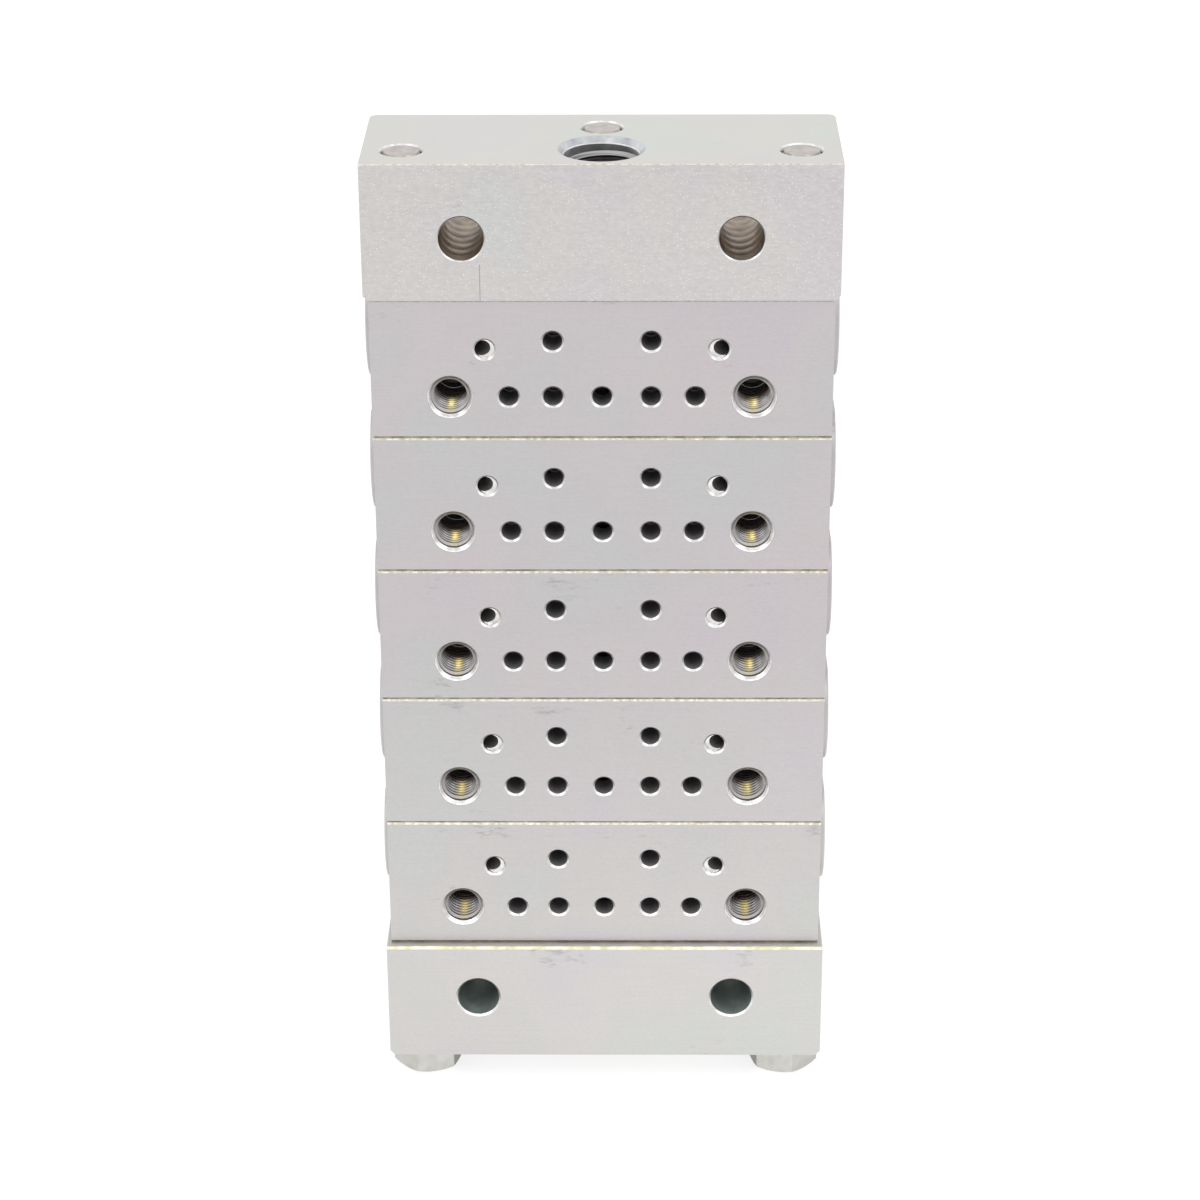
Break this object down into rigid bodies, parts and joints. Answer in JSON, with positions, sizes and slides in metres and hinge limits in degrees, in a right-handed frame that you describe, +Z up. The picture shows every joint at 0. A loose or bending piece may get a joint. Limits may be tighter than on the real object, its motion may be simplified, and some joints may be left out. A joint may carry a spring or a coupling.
{
  "type": "hydraulic manifold block",
  "caption": "Stacked steel manifold block: inlet block, equal sections and end block held by tie rods, with valve ports in the front and threaded outlets in the sides.",
  "frame": {"origin": "under the middle of the end block, in the plane of the tie rod nuts' lower faces", "axes": "+Z up the stack towards the inlet port, +Y from the valve faces to the back face, +X to the viewer's right when facing the valve faces"},
  "size_m": [0.077, 0.028, 0.1695],
  "materials": {
    "zinc_plated_steel": "clear zinc plate over ground and sawn steel",
    "rod_steel": "clear zinc plate",
    "nut_steel": "clear zinc plate",
    "seal_rubber": "moulded nitrile rubber",
    "check_steel": "bare turned steel"
  },
  "bodies": {
    "root": {"inlet_block": "zinc_plated_steel", "section_block_1": "zinc_plated_steel", "section_block_2": "zinc_plated_steel", "section_block_3": "zinc_plated_steel", "section_block_4": "zinc_plated_steel", "section_block_5": "zinc_plated_steel", "end_block": "zinc_plated_steel", "tie_rod_left": "rod_steel", "tie_rod_right": "rod_steel", "tie_rod_rear": "rod_steel", "tie_rod_nut_left": "nut_steel", "tie_rod_nut_right": "nut_steel", "tie_rod_nut_rear": "nut_steel", "joint_seal_1": "seal_rubber", "joint_seal_2": "seal_rubber", "joint_seal_3": "seal_rubber", "joint_seal_4": "seal_rubber", "joint_seal_5": "seal_rubber", "joint_seal_6": "seal_rubber", "outlet_checks_1": "check_steel", "outlet_checks_2": "check_steel", "outlet_checks_3": "check_steel", "outlet_checks_4": "check_steel", "outlet_checks_5": "check_steel"}
  },
  "joints": []
}
